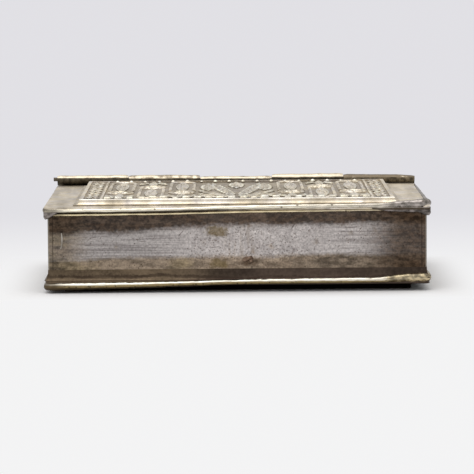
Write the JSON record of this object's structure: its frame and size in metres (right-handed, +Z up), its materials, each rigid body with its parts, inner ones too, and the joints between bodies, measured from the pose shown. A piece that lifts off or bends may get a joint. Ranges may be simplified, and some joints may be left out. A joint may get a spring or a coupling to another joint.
{
  "type": "book-form needle case",
  "caption": "Flat book-shaped metal case for sewing needles, with a moulded hinged lid, plain walls, a coved base and a padded inside.",
  "frame": {"origin": "centre of the flat face of the base panel that the case rests on", "axes": "+X along the hinge, +Y from the fore edge to the spine, +Z up through the lid"},
  "size_m": [0.0868, 0.058, 0.0215],
  "materials": {
    "beaten_silver": "worn beaten silver, tarnished in the hollows",
    "bright_wire": "rubbed bright silver wire",
    "dark_silver": "dark tarnished silver, rubbed grey in the middle",
    "hinge_silver": "worn silver tube, brown underneath",
    "pin_metal": "dark iron wire",
    "bezel_silver": "dull silver strip",
    "needle_steel": "polished steel",
    "pad_cloth": "wool cloth",
    "band_cloth": "woven ribbon",
    "lining_cloth": "wool cloth"
  },
  "bodies": {
    "case": {"base_cover": "beaten_silver", "base_edge_wire": "bright_wire", "fore_edge_wall": "dark_silver", "left_end_wall": "dark_silver", "right_end_wall": "dark_silver", "spine_wall": "dark_silver", "wall_top_wire": "bright_wire", "case_knuckle_left": "hinge_silver", "case_knuckle_middle": "hinge_silver", "case_knuckle_right": "hinge_silver", "hinge_pin": "pin_metal", "needle_pad": "pad_cloth", "needles": "needle_steel", "needle_band": "band_cloth"},
    "lid": {"lid_cover": "beaten_silver", "lid_edge_wire": "bright_wire", "lid_bezel_front": "bezel_silver", "lid_bezel_left": "bezel_silver", "lid_bezel_right": "bezel_silver", "lid_knuckle_left": "hinge_silver", "lid_knuckle_right": "hinge_silver", "lid_lining": "lining_cloth"}
  },
  "joints": [
    {"name": "lid_hinge", "type": "hinge", "parent": "case", "child": "lid", "pos_m": [0, 0.02735, 0.02015], "axis": [-1, 0, 0], "range_deg": [0, 180]}
  ]
}
